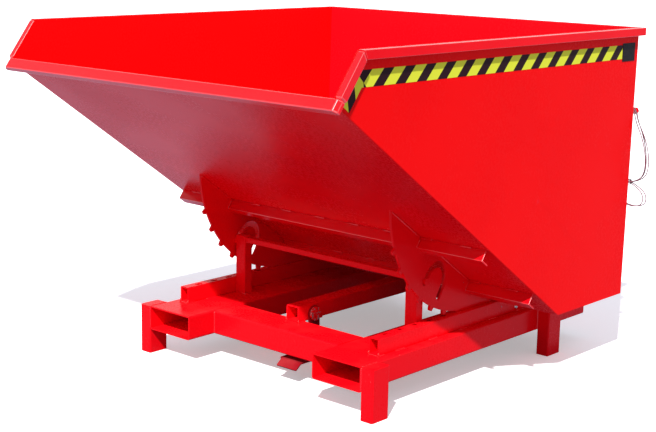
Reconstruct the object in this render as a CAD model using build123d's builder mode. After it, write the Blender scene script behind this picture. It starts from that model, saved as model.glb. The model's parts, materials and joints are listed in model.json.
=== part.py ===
from build123d import *
import os
from math import atan2, cos, radians, sin, sqrt, tan

os.makedirs("parts", exist_ok=True)

# A tipping skip that a fork truck carries. Its two toothed rockers roll on perforated rails.
# Millimetres, Z up. The skip tips towards -Y, and left and right are as seen from there.

# Fork pockets, measured from the tipping side's mouths
pocket_length = 1370
pocket_width = 216
pocket_height = 90
pocket_wall = 5
pocket_corner = 8
pocket_inset = 304
ground_gap = 94.5

# Cross beams of the base
beam_depth = 140
beam_wall = 5
beam_corner = 8
front_beam_setback = 126.5
rear_beam_tuck = 110.5

# Legs
leg_width = 52
leg_depth = 84
leg_wall = 4
leg_corner = 5
leg_drop = 2
leg_plate = 6
rear_leg_lead = 92

# Rails with slots for the rockers' teeth
rail_width = 42
rail_height = 60
rail_wall = 4
rail_corner = 4
rail_inset = 446
rail_setback = 126
rail_tuck = 10.5
slot_length = 34
slot_width = 16

# Posts that carry the guide pins
post_width = 50
post_depth = 40
post_wall = 4
post_corner = 4
post_height = 227.5
post_setback = 376
cross_bar_drop = 4
cross_bar_height = 20
cross_bar_depth = 32
pin_diameter = 22
pin_drop = 21.5
pin_reach = 28
collar_diameter = 38
collar_thickness = 9

# Centre tube under the skip
tube_size = 60
tube_wall = 5
tube_corner = 6
tube_setback = 226

# Rockers
roll_radius = 438
roll_setback = 638
rocker_thickness = 10
rocker_offset = 10
rail_clearance = 0.3
tip_angle = 66
tooth_pitch = 10.5
tooth_count = 7
tooth_lead = 5.7
tooth_base = 25
tooth_tip = 12
tooth_height = 15.5
tooth_sink = 2
tooth_round = 4
guide_clearance = 1
guide_overrun = 0.6

# Skip
skip_half_width = 753.5
overall_height = 1248
sheet = 4
bottom_sheet = 8
cut_over = 1
bottom_gap = 2
floor_slope = 34.85
bottom_front = 805
bottom_rear = 1240.5
rear_lean = 15
lip_drop = 142
opening_run = 107.4

# Rim of the skip
rim_width = 23
rim_height = 28
rim_wall = 3
rear_rim_depth = 26
rim_corner_cut = 16
lip_above = 14.5
lip_below = 26
lip_depth = 25
lip_corner_cut = 12

# Stiffening angles under the sloped floor
angle_leg = 40
angle_wall = 5
angle_inset = 16
angle_places = (177, 533)

# Tape, label and their places on the side panels
film = 0.6
tape_height = 50
tape_top_gap = 59
tape_rear_gap = 113
tape_edge_gap = 28
label_width = 87
label_height = 66
label_thickness = 1.5
label_rear_gap = 25
label_top_gap = 53

# Trip lever on the centre tube
trip_setback = 305
trip_height = 23
trip_plate = 6
trip_arm_width = 58
trip_beam_gap = 10
hub_diameter = 52
hub_thickness = 8
back_hub_diameter = 44
shaft_diameter = 20
shaft_clearance = 0.05
arm_gap = 0.3
pedal_width = 94
pedal_thickness = 6
pedal_flat = 66
pedal_bend_setback = 134
pedal_free_run = 26
pedal_free_drop = 20
pedal_depth_below_beam = 20
trip_stop_size = 12
trip_stop_reach = 8

# Latch at the back
striker_diameter = 16
striker_height = 37.5
striker_lead = 38
ear_thickness = 10
ear_gap = 1
hook_thickness = 10
hook_pivot_gap = 43.5
hook_pivot_height = 302
hook_pin_diameter = 12
hook_shank = 24
hook_nose = 14
hook_nose_height = 16
hook_tail = 48
hook_toe_cut = (6, 10)
striker_gap = 1
eye_diameter = 11
ear_margin = 2
ear_spread = 8
pin_overhang = 3

# Rope and what carries it
rope_diameter = 4
rope_facets = 5
rope_gap = 0.3
rope_exit_run = 30
rope_stub = (-26, 1, -7)
hank_pitch = 11
hank_seat = 1
hank_turns = 2
hank_widths = (1.0, 0.9, 0.76)
ferrule_diameter = 9
ferrule_length = 14
tie_width = 8
tie_thickness = 1.5
tie_height = 16.5
tie_corner = 3
tie_drop = 265.7
lug_height = 938
lug_side_gap = 13
lug_diameter = 14
lug_reach = 36
lug_head_width = 28
lug_head_thickness = 4

# Discs on the axis that the rockers roll about
axis_disc_diameter = 16
axis_disc_clearance = 0.05

# Levels and places worked out from the sizes above
slope = radians(floor_slope)
deck = ground_gap + pocket_height
rail_top = deck + rail_height
roll_height = rail_top + roll_radius
bottom = rail_top + bottom_gap
lip_height = overall_height - lip_drop
floor_run = (lip_height - bottom) / tan(slope)
lip_edge = bottom_front - floor_run
top_front = lip_edge + opening_run
top_rear = bottom_rear + rear_lean
opening = atan2(lip_drop, opening_run)
lip_reach = -(lip_edge - lip_below * cos(opening))
mouth = -(pocket_length - lip_reach) / 2
rocker_x = rail_inset + rocker_offset + rocker_thickness / 2
tip_travel = radians(tip_angle)
rear_beam_setback = bottom_rear - rear_beam_tuck
rear_leg_setback = rear_beam_setback - rear_leg_lead
rail_length = bottom_rear - rail_tuck - rail_setback


def back(setback):
    return mouth + setback


def save(solid, name):
    solid.label = name
    export_step(solid, "parts/" + name + ".step")


def tube_profile(width, height, wall, corner):
    with BuildSketch(mode=Mode.PRIVATE) as ring:
        RectangleRounded(width, height, corner)
        Rectangle(width - 2 * wall, height - 2 * wall, mode=Mode.SUBTRACT)
    return ring.sketch


sides = ((-1, "left"), (1, "right"))

# Fork pockets
for side, hand in sides:
    with BuildPart() as pocket:
        middle = side * (pocket_inset + pocket_width / 2)
        pocket_plane = Plane((middle, back(0), ground_gap + pocket_height / 2), x_dir=(1, 0, 0), z_dir=(0, -1, 0))
        with BuildSketch(pocket_plane):
            add(tube_profile(pocket_width, pocket_height, pocket_wall, pocket_corner))
        extrude(amount=-pocket_length)
    save(pocket.part, "fork_pocket_" + hand)

# Cross beams between the pockets
for name, setback in (("front_beam", front_beam_setback), ("rear_beam", rear_beam_setback)):
    with BuildPart() as beam:
        beam_middle = (0, back(setback) + beam_depth / 2, ground_gap + pocket_height / 2)
        with BuildSketch(Plane(beam_middle, x_dir=(0, 1, 0), z_dir=(1, 0, 0))):
            add(tube_profile(beam_depth, pocket_height, beam_wall, beam_corner))
        extrude(amount=pocket_inset, both=True)
    save(beam.part, name)

# Legs: a tube with a foot plate and a cap let into its ends
leg_height = deck - leg_drop
for end, setback in (("front", 0), ("rear", rear_leg_setback)):
    for side, hand in sides:
        leg_x = side * (pocket_inset + pocket_width + leg_width / 2)
        leg_y = back(setback) + leg_depth / 2
        with BuildPart() as leg:
            with BuildSketch(Plane.XY) as leg_section:
                with Locations((leg_x, leg_y)):
                    add(tube_profile(leg_width, leg_depth, leg_wall, leg_corner))
            extrude(amount=leg_height)
            inside = (leg_width - 2 * leg_wall, leg_depth - 2 * leg_wall)
            for level in (0, leg_height - leg_plate):
                with BuildSketch(Plane.XY.offset(level)):
                    with Locations((leg_x, leg_y)):
                        Rectangle(*inside)
                extrude(amount=leg_plate)
        save(leg.part, "leg_" + end + "_" + hand)

# Rails, with a slot in the top wall for each tooth that comes down on them
roll_y = back(roll_setback)
rail_front = back(rail_setback)
tooth_angles = [radians(tooth_lead + tooth_pitch * k) for k in range(tooth_count)]
slot_places = [roll_y - roll_radius * angle for angle in tooth_angles]
slot_places = [place for place in slot_places if place - slot_length / 2 > rail_front]
for side, hand in sides:
    with BuildPart() as rail:
        rail_middle = (side * (rail_inset + rail_width / 2), rail_front, deck + rail_height / 2)
        with BuildSketch(Plane(rail_middle, x_dir=(1, 0, 0), z_dir=(0, -1, 0))):
            add(tube_profile(rail_width, rail_height, rail_wall, rail_corner))
        extrude(amount=-rail_length)
        with BuildSketch(Plane.XY.offset(rail_top)):
            for place in slot_places:
                with Locations((side * rocker_x, place)):
                    SlotOverall(slot_length, slot_width, rotation=90)
        extrude(amount=-rail_wall, mode=Mode.SUBTRACT)
    save(rail.part, "rail_" + hand)

# Posts beside the rails, capped, and the bar between them
post_top = deck + post_height
post_x = rail_inset - post_width / 2
post_y = back(post_setback) + post_depth / 2
for side, hand in sides:
    with BuildPart() as post:
        with BuildSketch(Plane.XY.offset(deck)):
            with Locations((side * post_x, post_y)):
                add(tube_profile(post_width, post_depth, post_wall, post_corner))
        extrude(amount=post_height)
        with BuildSketch(Plane.XY.offset(post_top)):
            with Locations((side * post_x, post_y)):
                Rectangle(post_width - 2 * post_wall, post_depth - 2 * post_wall)
        extrude(amount=-post_wall)
    save(post.part, "post_" + hand)

bar_top = post_top - cross_bar_drop
with BuildPart() as cross_bar:
    bar_middle = (0, post_y, bar_top - cross_bar_height / 2)
    with BuildSketch(Plane(bar_middle, x_dir=(0, 1, 0), z_dir=(1, 0, 0))):
        Rectangle(cross_bar_depth, cross_bar_height)
    extrude(amount=post_x - post_width / 2, both=True)
save(cross_bar.part, "post_cross_bar")

# Guide pins: a collar on each post, and the pin through the rocker's slot
pin_z = post_top - pin_drop
post_face = rail_inset
with BuildPart() as guide_pins:
    for side, hand in sides:
        pin_plane = Plane((side * post_face, post_y, pin_z), x_dir=(0, 1, 0), z_dir=(side, 0, 0))
        with BuildSketch(pin_plane):
            Circle(collar_diameter / 2)
        extrude(amount=collar_thickness)
        with BuildSketch(pin_plane):
            Circle(pin_diameter / 2)
        extrude(amount=pin_reach)
save(guide_pins.part, "guide_pins")

# Centre tube from beam to beam
tube_length = rear_beam_setback + beam_depth / 4 - tube_setback
with BuildPart() as centre_tube:
    tube_middle = (0, back(tube_setback), deck + tube_size / 2)
    with BuildSketch(Plane(tube_middle, x_dir=(1, 0, 0), z_dir=(0, -1, 0))):
        add(tube_profile(tube_size, tube_size, tube_wall, tube_corner))
    extrude(amount=-tube_length)
    trip_y = back(trip_setback)
    trip_z = deck + trip_height
    with BuildSketch(Plane((0, trip_y, trip_z), x_dir=(0, 1, 0), z_dir=(1, 0, 0))):
        Circle(shaft_diameter / 2 + shaft_clearance)
    extrude(amount=tube_size / 2, both=True, mode=Mode.SUBTRACT)
save(centre_tube.part, "centre_tube")

# Striker bar for the latch, on two ears on the rear beam
hook_side = hook_thickness / 2 + ear_gap
hook_y = back(bottom_rear + hook_pivot_gap)
striker_y = hook_y - striker_lead
striker_z = deck + striker_height
with BuildPart() as striker_ears:
    for side in (-1, 1):
        inner_face = Plane((side * hook_side, striker_y, deck), x_dir=(0, 1, 0), z_dir=(side, 0, 0))
        with BuildSketch(inner_face):
            with BuildLine():
                top = (striker_height + striker_diameter * 0.8) * side
                shoulder = (striker_height - striker_diameter * 0.2) * side
                Polyline((-striker_diameter, 0), (striker_diameter, 0), (striker_diameter * 0.8, shoulder),
                         (striker_diameter * 0.4, top), (-striker_diameter * 0.4, top),
                         (-striker_diameter * 0.8, shoulder), close=True)
            make_face()
        extrude(amount=ear_thickness)
save(striker_ears.part, "striker_ears")

with BuildPart() as striker:
    with BuildSketch(Plane((0, striker_y, striker_z), x_dir=(0, 1, 0), z_dir=(1, 0, 0))):
        Circle(striker_diameter / 2)
    extrude(amount=hook_side, both=True)
save(striker.part, "latch_striker")

# Outline of the skip seen from the side, in (Y, Z)
corner_floor = Vector(back(bottom_front), bottom)
corner_rear = Vector(back(bottom_rear), bottom)
corner_top_rear = Vector(back(top_rear), overall_height)
corner_top_front = Vector(back(top_front), overall_height)
corner_lip = Vector(back(lip_edge), lip_height)
outline = [corner_floor, corner_rear, corner_top_rear, corner_top_front, corner_lip]


def inset(index, first_wall, second_wall):
    # The corner moved inwards by one wall off the side before it and another off the side after it
    corner = outline[index]
    into = (corner - outline[index - 1]).normalized()
    out = (outline[(index + 1) % len(outline)] - corner).normalized()
    turn = into.X * out.Y - into.Y * out.X
    return corner + (out * first_wall - into * second_wall) / turn


def prism(points, start, end):
    # A profile in (Y, Z) between two places along X
    with BuildPart(mode=Mode.PRIVATE) as block:
        with BuildSketch(Plane.YZ.offset(start)):
            with BuildLine():
                Polyline(*[(p.X, p.Y) for p in points], close=True)
            make_face()
        extrude(amount=end - start)
    return block.part


def inner_prism(points, start, end, wall):
    # The hollow of a closed tube of folded sheet with the same profile
    with BuildPart(mode=Mode.PRIVATE) as block:
        with BuildSketch(Plane.YZ.offset(start + wall)):
            with BuildLine():
                Polyline(*[(p.X, p.Y) for p in points], close=True)
            make_face()
            offset(amount=-wall, kind=Kind.INTERSECTION, mode=Mode.REPLACE)
        extrude(amount=end - start - 2 * wall)
    return block.part


def hollow_prism(points, start, end, wall):
    with BuildPart(mode=Mode.PRIVATE) as block:
        add(prism(points, start, end))
        add(inner_prism(points, start, end, wall), mode=Mode.SUBTRACT)
    return block.part


# Directions in (Y, Z): up along the floor, out of its underside, up the opening, out of the opening
along_floor = Vector(-cos(slope), sin(slope))
below_floor = Vector(-sin(slope), -cos(slope))
up_opening = Vector(cos(opening), sin(opening))
out_of_opening = Vector(-sin(opening), cos(opening))
inner_half = skip_half_width - sheet

lip_profile = [
    corner_lip + up_opening * lip_above,
    corner_lip - up_opening * lip_below,
    corner_lip - up_opening * lip_below - out_of_opening * lip_depth,
    corner_lip + up_opening * lip_above - out_of_opening * lip_depth,
]

# Side panels
for side, hand in sides:
    with BuildPart() as panel:
        outer = side * skip_half_width
        inner = side * inner_half
        add(prism(outline, min(outer, inner), max(outer, inner)))
        add(prism(lip_profile, min(outer, inner) - cut_over, max(outer, inner) + cut_over), mode=Mode.SUBTRACT)
        with BuildSketch(Plane((outer, roll_y, roll_height), x_dir=(0, 1, 0), z_dir=(-side, 0, 0))):
            Circle(axis_disc_diameter / 2 + axis_disc_clearance)
        extrude(amount=sheet, mode=Mode.SUBTRACT)
    save(panel.part, "side_panel_" + hand)

# Floor, bottom and rear wall between the panels


def floor_to_lip(depth):
    # Where a line in the floor, this far above its underside, meets the back of the lip's tube
    above = corner_lip - below_floor * depth
    gap = (above - corner_lip).dot(out_of_opening) + lip_depth
    return above - along_floor * (gap / along_floor.dot(out_of_opening))


floor_profile = [corner_floor, floor_to_lip(0), floor_to_lip(sheet), inset(0, sheet, bottom_sheet)]
bottom_profile = [corner_floor, corner_rear, inset(1, bottom_sheet, sheet), inset(0, sheet, bottom_sheet)]
rear_profile = [corner_rear, corner_top_rear, inset(2, sheet, 0), inset(1, bottom_sheet, sheet)]
save(prism(floor_profile, -inner_half, inner_half), "sloped_floor")
save(prism(bottom_profile, -inner_half, inner_half), "bottom_plate")
save(prism(rear_profile, -inner_half, inner_half), "rear_wall")


def rear_face_at(height):
    # The rear wall leans, so its outer face lies further back with height
    return back(bottom_rear) + (top_rear - bottom_rear) * (height - bottom) / (overall_height - bottom)


# Rim along the panels, the opening, the lip and the back
rim_outer = skip_half_width + rim_width
rim_end = Vector(back(top_rear) + rear_rim_depth, overall_height)
rim_top_profile = [corner_top_front, rim_end, rim_end - Vector(0, rim_height), inset(3, rim_height, rim_height)]
slope_start = corner_lip + up_opening * lip_above
rim_slope_profile = [corner_top_front, inset(3, rim_height, rim_height),
                     slope_start - out_of_opening * rim_height, slope_start]
for side, hand in sides:
    near = side * skip_half_width
    far = side * rim_outer
    with BuildPart() as rim:
        add(prism(rim_top_profile, min(near, far), max(near, far)))
        rear_corner = rim.edges().filter_by(Axis.Z).sort_by_distance((far, rim_end.X, rim_end.Y))[0]
        chamfer(rear_corner, rim_corner_cut)
        hollow = inner_prism(rim_top_profile, min(near, far), max(near, far), rim_wall)
        with BuildPart(mode=Mode.PRIVATE) as keep:
            add(hollow)
            with BuildSketch(Plane.XY.offset(overall_height)):
                with Locations((far, rim_end.X)):
                    Rectangle(2 * (rim_corner_cut + rim_wall), 2 * (rim_corner_cut + rim_wall))
            extrude(amount=-rim_height, mode=Mode.SUBTRACT)
        add(keep.part, mode=Mode.SUBTRACT)
    save(rim.part, "rim_side_" + hand)
    save(hollow_prism(rim_slope_profile, min(near, far), max(near, far), rim_wall), "rim_slope_" + hand)

rear_rim_profile = [corner_top_rear, rim_end, rim_end - Vector(0, rim_height), corner_top_rear - Vector(0, rim_height)]
save(hollow_prism(rear_rim_profile, -skip_half_width, skip_half_width, rim_wall), "rim_rear")

with BuildPart() as lip:
    add(prism(lip_profile, -rim_outer, rim_outer))
    for side in (-1, 1):
        end_face = lip.faces().filter_by(Axis.X).sort_by(Axis.X)[-1 if side > 0 else 0]
        front_edge = end_face.edges().sort_by_distance((side * rim_outer, corner_lip.X, corner_lip.Y))[0]
        chamfer(front_edge, lip_corner_cut)
    hollow_end = rim_outer - lip_corner_cut
    add(inner_prism(lip_profile, -hollow_end, hollow_end, rim_wall), mode=Mode.SUBTRACT)
save(lip.part, "rim_lip")

# Stiffening angles across the underside of the floor
angle_half = skip_half_width - angle_inset


def on_floor(distance, depth):
    return corner_floor + along_floor * distance + below_floor * depth


def angle_profile(place):
    return [on_floor(place, 0), on_floor(place, angle_leg), on_floor(place - angle_leg, angle_leg),
            on_floor(place - angle_leg, angle_leg - angle_wall),
            on_floor(place - angle_wall, angle_leg - angle_wall), on_floor(place - angle_wall, 0)]


for name, place in zip(("stiffener_lower", "stiffener_upper"), angle_places):
    save(prism(angle_profile(place), -angle_half, angle_half), name)

# Rockers: a plate rolling on its rim, with teeth, and a slot along the guide pin's path
axis_point = Vector(roll_y, roll_height)
rocker_radius = roll_radius - rail_clearance


def on_roll(radius, angle):
    # A point at an angle ahead of straight down, seen from the rolling axis
    return axis_point + Vector(-sin(angle), -cos(angle)) * radius


floor_offset = (corner_floor - axis_point).dot(below_floor)
tip_ahead = slope + atan2(sqrt(rocker_radius ** 2 - floor_offset ** 2), floor_offset)
rocker_tip = on_roll(rocker_radius, tip_ahead)
pin_ahead = post_y - roll_y
pin_above = pin_z - rail_top


def pin_path(turn):
    # Where the guide pin lies in the rocker when the skip has tipped by this angle
    run = pin_ahead + roll_radius * turn
    rise = pin_above - roll_radius
    return axis_point + Vector(run * cos(turn) + rise * sin(turn), rise * cos(turn) - run * sin(turn))


def path_heading(turn):
    step = 0.001
    return (pin_path(turn + step) - pin_path(turn - step)).normalized()


slot_half = pin_diameter / 2 + guide_clearance
path_steps = 7
path_turns = [radians(-guide_overrun) + (tip_travel + radians(2 * guide_overrun)) * k / path_steps
              for k in range(path_steps + 1)]


def slot_wall(turn, hand):
    heading = path_heading(turn)
    return pin_path(turn) + Vector(-heading.Y, heading.X) * slot_half * hand


def flat(points):
    return [(p.X, p.Y) for p in points]


def tooth_outline(angle):
    down = (on_roll(1, angle) - axis_point).normalized()
    across = Vector(-down.Y, down.X)
    root = on_roll(rocker_radius - tooth_sink, angle)
    tip = on_roll(rocker_radius + tooth_height, angle)
    return [root - across * tooth_base / 2, tip - across * tooth_tip / 2,
            tip + across * tooth_tip / 2, root + across * tooth_base / 2]


for side, hand in sides:
    face = rocker_x - rocker_thickness / 2 if side > 0 else -rocker_x - rocker_thickness / 2
    with BuildPart() as rocker:
        with BuildSketch(Plane.YZ.offset(face)):
            with BuildLine():
                foot = Vector(roll_y, rail_top + rail_clearance)
                heel = Vector(corner_floor.X, rail_top + rail_clearance)
                ThreePointArc(*flat([rocker_tip, on_roll(rocker_radius, tip_ahead / 2), foot]))
                Polyline(*flat([foot, heel, corner_floor, rocker_tip]))
            make_face()
        extrude(amount=rocker_thickness)
        for angle in tooth_angles:
            with BuildSketch(Plane.YZ.offset(face)) as tooth:
                with BuildLine():
                    Polyline(*flat(tooth_outline(angle)), close=True)
                make_face()
                tips = tooth.vertices().sort_by_distance((face, roll_y, roll_height))[-2:]
                fillet(tips, tooth_round)
            extrude(amount=rocker_thickness)
        with BuildSketch(Plane.YZ.offset(face)):
            with BuildLine():
                upper = Spline(*flat([slot_wall(turn, 1) for turn in path_turns]))
                last = path_turns[-1]
                ThreePointArc(upper @ 1, flat([pin_path(last) + path_heading(last) * slot_half])[0],
                              flat([slot_wall(last, -1)])[0])
                lower = Spline(*flat([slot_wall(turn, -1) for turn in reversed(path_turns)]))
                first = path_turns[0]
                ThreePointArc(lower @ 1, flat([pin_path(first) - path_heading(first) * slot_half])[0], upper @ 0)
            make_face()
        extrude(amount=rocker_thickness, mode=Mode.SUBTRACT)
        for place in angle_places:
            add(prism(angle_profile(place), face - cut_over, face + rocker_thickness + cut_over), mode=Mode.SUBTRACT)
    save(rocker.part, "rocker_" + hand)

# Discs in the panels on the rolling axis
with BuildPart() as axis_discs:
    for side, hand in sides:
        with BuildSketch(Plane((side * skip_half_width, roll_y, roll_height), x_dir=(0, 1, 0), z_dir=(-side, 0, 0))):
            Circle(axis_disc_diameter / 2)
        extrude(amount=sheet)
save(axis_discs.part, "axis_discs")

# Tape along the top of each panel and down beside its opening
tape_top = overall_height - tape_top_gap
for side, hand in sides:
    near = side * skip_half_width
    far = side * (skip_half_width + film)
    reach = (overall_height - tape_top) / sin(opening)
    top_out = corner_top_front - up_opening * reach
    front_out = top_out - out_of_opening * tape_edge_gap
    front_in = front_out - out_of_opening * tape_height
    low_out = slope_start - out_of_opening * tape_edge_gap
    low_in = low_out - out_of_opening * tape_height
    level = Vector(0, tape_height)
    rear_end = Vector(back(top_rear) - tape_rear_gap, tape_top)
    start = front_out + up_opening * ((tape_top - front_out.Y) / up_opening.Y)
    under = front_in + up_opening * ((tape_top - tape_height - front_in.Y) / up_opening.Y)
    tape_outline = [start, low_out, low_in, under, rear_end - level, rear_end]
    save(prism(tape_outline, min(near, far), max(near, far)), "hazard_tape_" + hand)

# Bare label plate behind the tape on the right panel
with BuildPart() as label_plate:
    label_y = back(top_rear) - label_rear_gap - label_width / 2
    label_z = overall_height - label_top_gap - label_height / 2
    with BuildSketch(Plane((skip_half_width, label_y, label_z), x_dir=(0, 1, 0), z_dir=(1, 0, 0))):
        Rectangle(label_width, label_height)
    extrude(amount=label_thickness)
save(label_plate.part, "label_plate")

# Trip lever: shaft and hub, arm round the front beam, and pedal
arm_face = tube_size / 2 + arm_gap
shaft_plane = Plane((0, trip_y, trip_z), x_dir=(0, 1, 0), z_dir=(1, 0, 0))
with BuildPart() as trip_shaft:
    with BuildSketch(shaft_plane):
        Circle(shaft_diameter / 2)
    extrude(amount=arm_face + trip_plate, both=True)
    with BuildSketch(shaft_plane.offset(arm_face + trip_plate)):
        Circle(hub_diameter / 2)
    extrude(amount=hub_thickness)
    with BuildSketch(shaft_plane.offset(-arm_face)):
        Circle(back_hub_diameter / 2)
    extrude(amount=-trip_plate)
save(trip_shaft.part, "trip_shaft")

arm_under = ground_gap - pedal_depth_below_beam
arm_behind = back(front_beam_setback) + beam_depth + trip_beam_gap
pedal_bend = back(pedal_bend_setback)
with BuildPart() as trip_arm:
    with BuildSketch(Plane.YZ.offset(arm_face)) as arm_shape:
        with BuildLine():
            Polyline(
                (arm_behind, trip_z),
                (arm_behind, arm_under + pedal_thickness),
                (pedal_bend, arm_under + pedal_thickness),
                (pedal_bend, arm_under - trip_arm_width / 4),
                (trip_y, arm_under - trip_arm_width / 4),
                (trip_y + trip_arm_width / 2, arm_under + trip_arm_width / 4),
                (trip_y + trip_arm_width / 2, trip_z),
                close=True,
            )
        make_face()
        with Locations((trip_y, trip_z)):
            Circle(trip_arm_width / 2)
            Circle(shaft_diameter / 2, mode=Mode.SUBTRACT)
    extrude(amount=trip_plate)
save(trip_arm.part, "trip_arm")

with BuildPart() as pedal:
    with BuildSketch(Plane.YZ.offset(arm_face + trip_plate)):
        with BuildLine():
            fold = (pedal_bend, arm_under)
            free = (pedal_bend - pedal_free_run, arm_under - pedal_free_drop)
            Polyline((pedal_bend + pedal_flat, arm_under), fold, free)
        trace(line_width=pedal_thickness)
    extrude(amount=pedal_width)
save(pedal.part, "trip_pedal")

# Stop on the centre tube that the hanging arm rests on
with BuildPart() as trip_stop:
    stop_y = trip_y + trip_arm_width / 2 + trip_stop_size / 2 + arm_gap
    with BuildSketch(Plane((tube_size / 2, stop_y, deck + trip_stop_size / 2), x_dir=(0, 1, 0), z_dir=(1, 0, 0))):
        Rectangle(trip_stop_size, trip_stop_size)
    extrude(amount=trip_stop_reach)
save(trip_stop.part, "trip_stop")

# Latch hook on two ears on the rear wall
hook_z = hook_pivot_height
with BuildPart() as latch_ears:
    for side in (-1, 1):
        with BuildSketch(Plane((side * hook_side, hook_y, hook_z), x_dir=(0, 1, 0), z_dir=(side, 0, 0))):
            half = hook_shank / 2 + ear_margin
            spread = half + ear_spread
            up = spread * side
            root_top = rear_face_at(hook_z + up) - hook_y
            root_low = rear_face_at(hook_z - up) - hook_y
            with BuildLine():
                Polyline((root_top, spread), (0, half))
                ThreePointArc((0, half), (half, 0), (0, -half))
                Polyline((0, -half), (root_low, -spread), (root_top, spread))
            make_face()
            Circle(hook_pin_diameter / 2, mode=Mode.SUBTRACT)
        extrude(amount=ear_thickness)
save(latch_ears.part, "latch_ears")

with BuildPart() as latch_pin:
    with BuildSketch(Plane((0, hook_y, hook_z), x_dir=(0, 1, 0), z_dir=(1, 0, 0))):
        Circle(hook_pin_diameter / 2)
    extrude(amount=hook_side + ear_thickness + pin_overhang, both=True)
save(latch_pin.part, "latch_pin")

with BuildPart() as latch_hook:
    nose_top = striker_z - striker_diameter / 2 - striker_gap
    nose_low = nose_top - hook_nose_height
    front_face = hook_y - hook_shank / 2
    rear_face = hook_y + hook_shank / 2
    with BuildSketch(Plane.YZ.offset(-hook_thickness / 2)):
        with BuildLine():
            Polyline(
                (front_face, hook_z),
                (front_face, nose_top),
                (front_face - hook_nose, nose_top),
                (front_face - hook_nose, nose_top - hook_nose_height / 3),
                (front_face, nose_low),
                (rear_face - hook_toe_cut[0], nose_low),
                (rear_face, nose_low + hook_toe_cut[1]),
                (rear_face, hook_z - hook_shank / 2),
                (hook_y + hook_tail, hook_z - eye_diameter),
                (hook_y + hook_tail, hook_z + eye_diameter),
                (hook_y, hook_z + hook_shank / 2),
                close=True,
            )
        make_face()
        with Locations((hook_y, hook_z)):
            Circle(hook_shank / 2)
            Circle(hook_pin_diameter / 2 + shaft_clearance, mode=Mode.SUBTRACT)
        with Locations((hook_y + hook_tail - eye_diameter, hook_z)):
            Circle(eye_diameter / 2, mode=Mode.SUBTRACT)
    extrude(amount=hook_thickness)
save(latch_hook.part, "latch_hook")

# Lug that the rope hangs on, at the right end of the rear wall
lug_x = skip_half_width - lug_side_gap
wall_at_lug = rear_face_at(lug_height)
with BuildPart() as rope_lug:
    with BuildSketch(Plane((lug_x, wall_at_lug, lug_height), x_dir=(1, 0, 0), z_dir=(0, 1, 0))):
        Circle(lug_diameter / 2)
    extrude(amount=lug_reach)
    with BuildSketch(Plane((lug_x, wall_at_lug + lug_reach, lug_height), x_dir=(1, 0, 0), z_dir=(0, 1, 0))):
        RegularPolygon(lug_head_width / 2, 6)
    extrude(amount=lug_head_thickness)
save(rope_lug.part, "rope_lug")

# Rope: a slack line from the latch's tail to the lug, and a hank of figure-eight turns that hangs there.
# Points are measured from the lug's seat on the wall, and the rope passes the middle of each run between them.
lug = Vector(lug_x, wall_at_lug, lug_height)
hank_shape = [
    (0, 15), (15, 0), (28, -40), (53, -82), (72, -130), (82, -186), (74, -236), (42, -257), (4, -267),
    (-34, -290), (-43, -328), (-12, -354), (34, -364), (76, -350), (76, -308), (41, -281),
    (4, -263), (-41, -239), (-75, -196), (-77, -138), (-56, -80), (-28, -40), (-15, 0),
]
first_crossing = 8
second_crossing = 16


def hank_depth(index):
    # Half the pitch for the upper lobe and half for the lower one, so that the crossing strands clear each other
    count = len(hank_shape)
    upper = count - second_crossing + first_crossing
    lower = second_crossing - first_crossing
    turn, place = divmod(index, count)
    if place <= first_crossing:
        share = 0.5 * (place + count - second_crossing) / upper
    elif place <= second_crossing:
        share = 0.5 + 0.5 * (place - first_crossing) / lower
    else:
        share = 1 + 0.5 * (place - second_crossing) / upper
    return hank_pitch * (turn + share)


def hank_points():
    points = []
    for index in range(hank_turns * len(hank_shape) + first_crossing + 1):
        turn, place = divmod(index, len(hank_shape))
        across, up = hank_shape[place]
        points.append(lug + Vector(across * hank_widths[turn], hank_depth(index) + hank_seat, up))
    points.append(points[-1] + Vector(*rope_stub))
    return points


line_shape = [
    (-688, 66, -618), (-650, 62, -598), (-610, 58, -580), (-566, 52, -543),
    (-523, 47, -504), (-481, 42, -463), (-440, 38, -420), (-400, 34, -376), (-361, 30, -331), (-323, 27, -285),
    (-286, 24, -238), (-250, 21, -190), (-215, 18, -141), (-176, 14, -98), (-134, 11, -60), (-88, 8.5, -30),
    (-48, 6.5, -10), (-20, 5, 8),
]


def unit(vector):
    return vector.normalized()


def biarc(start, start_way, end, end_way):
    # Two arcs that leave and arrive in the given directions
    chord = end - start
    ways = start_way + end_way
    spread = 2 * (1 - start_way.dot(end_way))
    along = chord.dot(ways)
    reach = (sqrt(along ** 2 + spread * chord.dot(chord)) - along) / spread
    joint = (start + end + (start_way - end_way) * reach) / 2
    joint_way = unit((end - end_way * reach) - (start + start_way * reach))
    TangentArc(start, joint, tangent=start_way)
    TangentArc(joint, end, tangent=joint_way)


hank_route = hank_points()
eye = Vector(0, hook_y + hook_tail - eye_diameter, hook_z + eye_diameter / 2 - rope_diameter / 2 - rope_gap)
rope_start = eye - Vector(hook_thickness / 2 + 1 + ferrule_length, 0, 0)
line_route = [rope_start, eye + Vector(rope_exit_run, 0, 0)] + [lug + Vector(*point) for point in line_shape]
meeting = (line_route[-1] + hank_route[0]) / 2
with BuildLine() as hank_line:
    run = [meeting * 2 - hank_route[0]] + hank_route
    for before, corner, after in zip(run, run[1:], run[2:]):
        biarc((before + corner) / 2, unit(corner - before), (corner + after) / 2, unit(after - corner))
with BuildPart() as hank:
    with BuildSketch(Plane(hank_line.line @ 0, z_dir=hank_line.line % 0)):
        RegularPolygon(rope_diameter / 2, rope_facets)
    sweep(path=hank_line.line)
save(hank.part, "rope_hank")

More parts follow.
